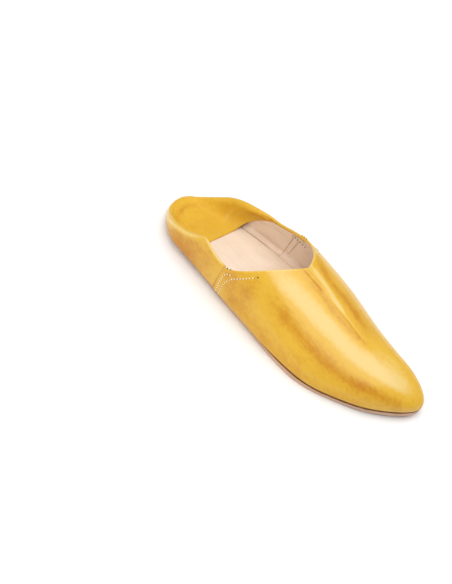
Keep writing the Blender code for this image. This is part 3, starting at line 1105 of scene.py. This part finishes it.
class SLIPPER_OT_lining(bpy.types.Operator):
    """Make the side lining and the insole."""

    bl_idname = "slipper.lining"
    bl_label = "Lining and insole"

    def execute(self, context):
        colors = context.scene.slipper_colors
        pale = material("lining_leather", lining_material, tuple(colors.lining))
        make_lining("vamp_lining", vamp_rows(0.0, LINING_LAP), ABOVE, LINING_DEPTH, pale)
        share, side = quarter_path(LINING_FRONT)
        top = rim_arch(share, side) - LINING_TOP_DROP
        rows = quarter_rows(share, side, top, LINING_FRONT, SEAM_FOOT, QUARTER_LINING_ROWS)
        make_lining("quarter_lining", rows, BESIDE, QUARTER_LINING_DEPTH, pale)
        sock = material("insole_leather", lining_material, tuple(colors.insole))
        bm = bmesh.new()
        add_grid(bm, sheet_points(SOCK_INSET, SOCK_TOP, SOCK_ROWS, SOCK_COLUMNS))
        weld(bm)
        face_outwards(bm, ABOVE)
        finish_piece("insole_sock", bm, sock, ("insole",), INSOLE_THICKNESS)
        return {"FINISHED"}


# Insole and outsole

SOCK_INSET = 0.4 * MM
SOCK_TOP = INSOLE_THICKNESS + CLEARANCE + 0.3 * MM
SOCK_ROWS = 90
SOCK_COLUMNS = 30
SOLE_ROWS = 110
SOLE_COLUMNS = 40
SOLE_BEVEL = 0.7 * MM
SHEET_END_ROWS = 14
SEAM_END_POINTS = 24
SEAM_SIDE_POINTS = 150
SEAM_STAND_OUT = 0.5 * MM
SEAM_SWELL_PART = 0.25
SEAM_LIFT = 0.15 * MM
TUBE_SEGMENTS = 8

# How far the sole stands out beyond the last, in millimetres
REACH_COLUMNS = ("share", "lateral", "medial")
SOLE_REACH = (
    (0.00, 0.5, 0.5),
    (0.30, 1.2, 0.5),
    (0.36, 1.9, 0.5),
    (0.44, 2.1, 0.5),
    (0.52, 1.1, 0.8),
    (0.58, 1.4, 0.9),
    (0.65, 2.4, 1.0),
    (0.70, 2.6, 1.0),
    (0.80, 1.2, 1.0),
    (0.90, 0.6, 0.8),
    (1.00, 0.6, 0.6),
)


def outline_shares(end_count, side_count):
    """Shares from the heel's back to the toe's tip, closer together round both ends."""
    turn = np.linspace(0, math.pi / 2, end_count)
    heel = HEEL_ROUND * (1 - np.cos(turn))
    toe = 1 - TOE_ROUND + TOE_ROUND * np.sin(turn)
    between = np.linspace(HEEL_ROUND, 1 - TOE_ROUND, side_count)[1:-1]
    return np.concatenate([heel, between, toe])


def sheet_points(inset, lift, rows, columns, reach=None):
    """Points of a sheet on the sole's outline, lifted above the sole's top."""
    grid = []
    for s in outline_shares(SHEET_END_ROWS, rows):
        keep = float(rounding(s))
        left = max(float(sole_half(s, 1)) - inset * keep, 0.0)
        right = max(float(sole_half(s, -1)) - inset * keep, 0.0)
        if reach:
            left += float(read(reach, REACH_COLUMNS, "medial", s)) * MM * keep
            right += float(read(reach, REACH_COLUMNS, "lateral", s)) * MM * keep
        y = np.linspace(-right, left, columns) + float(centre_line(s))
        long = (s - 0.5) * (SOLE_LENGTH - 2 * inset) + TOE_REACH * float(toe_reach(s))
        x = np.full(columns, long)
        z = np.full(columns, float(floor_rise(s)) + SOLE_THICKNESS + lift)
        grid.append(np.stack([x, y, z], -1) + SHIFT)
    return np.array(grid)


class SLIPPER_OT_sole(bpy.types.Operator):
    """Make the leather outsole with its rounded edge, and a dark cord of painted shade in the
    crevice above it.
    """

    bl_idname = "slipper.sole"
    bl_label = "Outsole"

    def execute(self, context):
        colors = context.scene.slipper_colors
        leather = material("sole_leather", sole_material, tuple(colors.sole))
        bm = bmesh.new()
        add_grid(bm, sheet_points(0.0, 0.0, SOLE_ROWS, SOLE_COLUMNS, SOLE_REACH))
        weld(bm)
        face_outwards(bm, ABOVE)
        piece = finish_piece("leather_sole", bm, leather, ("outsole",), SOLE_THICKNESS)
        edge = piece.modifiers.new("edge", "BEVEL")
        edge.width = SOLE_BEVEL
        edge.segments = 3
        edge.limit_method = "ANGLE"
        dark = material("burnished_edge", crevice_shade_material, tuple(colors.burnish))
        bm = bmesh.new()
        path, radius = sole_crevice_shade()
        add_tube(bm, path, radius)
        weld(bm)
        bmesh.ops.recalc_face_normals(bm, faces=bm.faces)
        finish_piece("sole_crevice_shade", bm, dark)
        return {"FINISHED"}


def sole_crevice_shade():
    """Closed path of the dark cord of painted shade between upper and sole, with its uneven
    thickness.
    """
    share = outline_shares(SEAM_END_POINTS, SEAM_SIDE_POINTS)
    share = np.concatenate([share, share[::-1][1:]])
    side = np.where(np.arange(len(share)) < (len(share) + 1) // 2, -1.0, 1.0)
    out = SEAM_STAND_OUT + SEAM_SWELL_PART * swell(share)
    half = sole_half(share, side) + out * rounding(share)
    x = (share - 0.5) * SOLE_LENGTH + TOE_REACH * toe_reach(share)
    z = floor_rise(share) + SOLE_THICKNESS + SEAM_LIFT
    path = np.stack([x, side * half + centre_line(share), z], -1) + SHIFT
    wave = 1 + 0.25 * np.sin(61 * share + side) * np.sin(163 * share)
    radius = (0.35 + 0.35 * smooth_step((share - 0.5) / 0.3)) * MM * wave
    radius[-1] = radius[0]
    return path, radius


def add_tube(bm, path, radius):
    """A closed tube along a closed, nearly level path."""
    along = unit(np.roll(path, -1, axis=0) - np.roll(path, 1, axis=0))
    along[0] = along[-1] = unit((path[1] - path[-2])[None])[0]
    side = unit(np.cross(along, [0.0, 0.0, 1.0]))
    up = np.cross(side, along)
    rows = []
    for k in range(TUBE_SEGMENTS + 1):
        turn = 2 * math.pi * k / TUBE_SEGMENTS
        rows.append(path + radius[:, None] * (math.cos(turn) * side + math.sin(turn) * up))
    add_grid(bm, np.array(rows))


# Stitches: rows beside the seam, over the rim at the corner, and thread ends inside

STITCH_LEAN = 0.22
LAST_HOLE = 0.7 * MM
HOLE_STEEP, HOLE_LEVEL = 0.7, 0.95
SEAM_START_ARCH = -0.2
SEAM_POINTS = 14
SEAM_SMOOTHINGS = 3
# Distance ahead of the seam, drop below the corner, run along the throat, gap below its edge
SEAM_ROWS = ((0.015, 0.05, 0.030, 3.2 * MM), (0.030, 0.12, 0.085, 6.2 * MM))
CORNER_SHARES = (0.003, 0.032, 10)
CORNER_RISE = 1.4 * MM
CORNER_LEAN = 2.0
INNER_SHARES = (-0.045, 0.03, 12)
INNER_DROP = 0.13
INNER_DEPTH = LINING_DEPTH + 1.25 * MM
INNER_LEAN = 1.2


class SLIPPER_OT_stitches(bpy.types.Operator):
    """Sew the side seams, with a dark bead of painted shade for the needle hole between the
    stitches.
    """

    bl_idname = "slipper.stitches"
    bl_label = "Stitches"

    def execute(self, context):
        colors, sizes = context.scene.slipper_colors, context.scene.slipper_sizes
        thread = material("waxed_thread", thread_material, tuple(colors.thread))
        dark = material("burnished_edge", crevice_shade_material, tuple(colors.burnish))
        stitches, holes = bmesh.new(), bmesh.new()
        for side in (-1, 1):
            rows = seam_rows(side)
            for row in rows:
                sew(stitches, holes, row, sizes)
            if side < 0:
                # A dark bead of painted shade for the last needle hole
                add_bead(holes, Matrix.Translation(rows[-1][-1]), LAST_HOLE)
            sew(stitches, holes, corner_row(side), sizes, CORNER_LEAN)
            sew(stitches, holes, inner_row(side), sizes, INNER_LEAN)
        finish_piece("seam_stitches", stitches, thread)
        finish_piece("needle_hole_shade", holes, dark)
        return {"FINISHED"}


def seam_rows(side):
    """The stitch rows of one side: up beside the seam, then forward under the throat."""
    corner = corner_arch(side)
    rows = []
    for ahead, drop, forward, below in SEAM_ROWS:
        arch = np.linspace(SEAM_START_ARCH, corner - drop, SEAM_POINTS)
        up = np.clip(arch / corner, 0, 1)
        share = SEAM_FOOT + (SEAM_TOP[side] - SEAM_FOOT) * up + ahead
        front = share[-1] + np.linspace(0, 1, SEAM_POINTS)[2:] * forward
        shares = np.concatenate([share, front])
        arches = np.concatenate([arch, arch_below_throat(front, side, below)])
        path = skin(shares, arches, side, LAP_STEP)
        for _ in range(SEAM_SMOOTHINGS):
            path[1:-1] = (path[:-2] + 2 * path[1:-1] + path[2:]) / 4
        rows.append(path)
    return rows


def corner_row(side):
    """The short row of stitches over the rim, just ahead of the corner."""
    share = SEAM_TOP[side] + np.linspace(*CORNER_SHARES)
    return skin(share, arch_below_throat(share, side, -CORNER_RISE), side, LAP_STEP)


def inner_row(side):
    """The ends of the seam's thread on the lining, behind and ahead of the corner."""
    share = SEAM_TOP[side] + np.linspace(*INNER_SHARES)
    return skin(share, corner_arch(side) - INNER_DROP, side, -INNER_DEPTH)


def arch_below_throat(share, side, gap):
    """Arch of a line that runs a gap below the throat's edge."""
    arches = np.linspace(corner_arch(side), 1, 200)
    edge = throat_share(arches, side)
    order = np.argsort(edge)
    top = np.interp(share, edge[order], arches[order])
    reach = belly_half(share, side) * math.pi / 2
    return top - gap / reach


def add_bead(bm, place, radius=1.0):
    bmesh.ops.create_uvsphere(bm, u_segments=8, v_segments=6, radius=radius, matrix=place)


def sew(stitches, holes, path, sizes, lean=STITCH_LEAN):
    """Stitches at a steady pitch along a path on the skin, each askew by the lean."""
    run = np.concatenate([[0], np.cumsum(np.linalg.norm(np.diff(path, axis=0), axis=1))])

    def at(distance):
        return Vector([np.interp(distance, run, path[:, i]) for i in range(3)])

    across = Vector((0, 0, 1))
    long, thin = sizes.stitch_length / 2, sizes.thread_radius
    for k in range(int(run[-1] / sizes.stitch_pitch)):
        middle = (k + 0.5) * sizes.stitch_pitch
        along = (at(middle + long) - at(middle - long)).normalized()
        askew = (along + across * lean * (1 if k % 2 else -1)).normalized()
        turn = askew.to_track_quat("X", "Z").to_matrix().to_4x4()
        size = Matrix.Diagonal((long, thin, thin, 1))
        add_bead(stitches, Matrix.Translation(at(middle)) @ turn @ size)
        # A dark bead of painted shade for the needle hole after each stitch
        gap = Matrix.Translation(at(middle + sizes.stitch_pitch / 2))
        wide = HOLE_STEEP if abs(along.z) > 0.5 else HOLE_LEVEL
        add_bead(holes, gap @ Matrix.Scale(thin * wide, 4))


# Stage

FLOOR_SIZE = 4.0
FLOOR_GAP = 0.2 * MM
FLOOR_WHITE = (0.93, 0.93, 0.93)
WORLD_STRENGTH = 0.32
# Name, place, aim, size, watts, and whether it shows in the highlights
LIGHTS = (
    ("softbox", (0.10, -0.18, 1.2), (0.10, -0.18, 0.0), (1.4, 1.64), 16.8, True),
    ("low_fill", (-0.45, -1.25, 0.42), (0.0, 0.0, 0.0), (1.5, 0.6), 6.3, False),
    ("far_fill", (0.30, 1.10, 0.75), (0.0, 0.0, 0.0), (1.2, 0.6), 5.0, False),
)


class SLIPPER_OT_stage(bpy.types.Operator):
    """Set the pale floor, the soft light and the camera."""

    bl_idname = "slipper.stage"
    bl_label = "Stage"

    def execute(self, context):
        make_floor()
        make_lights(context.scene)
        make_camera(context.scene)
        return {"FINISHED"}


def make_floor():
    """A white floor just under the sole."""
    level = Matrix.Translation((0, 0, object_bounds()[0][2] - FLOOR_GAP))
    bm = bmesh.new()
    bmesh.ops.create_grid(bm, x_segments=1, y_segments=1, size=FLOOR_SIZE, matrix=level)
    mesh = bpy.data.meshes.new("floor")
    bm.to_mesh(mesh)
    bm.free()
    floor = bpy.data.objects.new("floor", mesh)
    bpy.context.scene.collection.objects.link(floor)
    g = Graph("white_floor")
    g.set(Base_Color=rgba(FLOOR_WHITE), Roughness=0.8, Specular_IOR_Level=0.1)
    mesh.materials.append(g.material)
    floor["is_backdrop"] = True


def add_area_light(name, place, aim, size, power, glossy):
    data = bpy.data.lights.new(name, "AREA")
    data.shape = "RECTANGLE"
    data.size, data.size_y = size
    data.energy = power
    light = bpy.data.objects.new(name, data)
    bpy.context.scene.collection.objects.link(light)
    light.location = place
    light.rotation_euler = (Vector(aim) - Vector(place)).to_track_quat("-Z", "Y").to_euler()
    light.visible_glossy = glossy


def make_lights(scene):
    """A white surround with the area lights of the table."""
    world = bpy.data.worlds.new("studio")
    world.use_nodes = True
    background = world.node_tree.nodes["Background"]
    background.inputs["Color"].default_value = (1, 1, 1, 1)
    background.inputs["Strength"].default_value = WORLD_STRENGTH
    scene.world = world
    for row in LIGHTS:
        add_area_light(*row)
    scene.view_settings.view_transform = "Standard"


def make_camera(scene):
    """The photograph's camera, from its angles round the shoe and its roll."""
    azimuth, elevation, roll = map(math.radians, (CAMERA_AZIMUTH, CAMERA_ELEVATION, CAMERA_ROLL))
    back = Vector((
        math.sin(azimuth) * math.cos(elevation),
        -math.cos(azimuth) * math.cos(elevation),
        math.sin(elevation),
    ))
    level = (-back).cross(Vector((0, 0, 1))).normalized()
    upward = level.cross(-back)
    right = level * math.cos(roll) + upward * math.sin(roll)
    up = -level * math.sin(roll) + upward * math.cos(roll)
    target = Vector(SHIFT) + Vector((0, 0, CAMERA_TARGET_HEIGHT))
    aim_x, aim_y = (pixels / CAMERA_FOCAL_PIXELS for pixels in CAMERA_AIM_PIXELS)
    forward = (-back - right * aim_x + up * aim_y).normalized()
    right = forward.cross(up).normalized()
    up = right.cross(forward)
    data = bpy.data.cameras.new("camera")
    data.sensor_width = SENSOR_MM
    data.lens = CAMERA_FOCAL_PIXELS * SENSOR_MM / PHOTO_HEIGHT_PIXELS
    data.clip_start = 0.01
    camera = bpy.data.objects.new("camera", data)
    scene.collection.objects.link(camera)
    turn = Matrix((right, up, -forward)).transposed().to_4x4()
    camera.matrix_world = Matrix.Translation(target + back * CAMERA_DISTANCE) @ turn
    scene.camera = camera


OPERATORS = (
    SLIPPER_OT_upper,
    SLIPPER_OT_lining,
    SLIPPER_OT_sole,
    SLIPPER_OT_stitches,
    SLIPPER_OT_stage,
)


class SLIPPER_PT_panel(bpy.types.Panel):
    """Lists the steps that dress the slipper."""

    bl_idname = "SLIPPER_PT_panel"
    bl_label = "Babouche slipper"
    bl_space_type = "VIEW_3D"
    bl_region_type = "UI"
    bl_category = "Slipper"

    def draw(self, context):
        for operator in OPERATORS:
            self.layout.operator(operator.bl_idname)
        for group in (context.scene.slipper_colors, context.scene.slipper_sizes):
            for name in group.__annotations__:
                self.layout.prop(group, name)


CLASSES = (SlipperColors, SlipperSizes) + OPERATORS + (SLIPPER_PT_panel,)


def register():
    for item in CLASSES:
        bpy.utils.register_class(item)
    bpy.types.Scene.slipper_colors = bpy.props.PointerProperty(type=SlipperColors)
    bpy.types.Scene.slipper_sizes = bpy.props.PointerProperty(type=SlipperSizes)


def unregister():
    del bpy.types.Scene.slipper_sizes
    del bpy.types.Scene.slipper_colors
    for item in reversed(CLASSES):
        bpy.utils.unregister_class(item)


def main():
    register()
    bpy.ops.slipper.upper()
    bpy.ops.slipper.lining()
    bpy.ops.slipper.sole()
    bpy.ops.slipper.stitches()
    bpy.ops.slipper.stage()


if __name__ == "__main__":
    main()
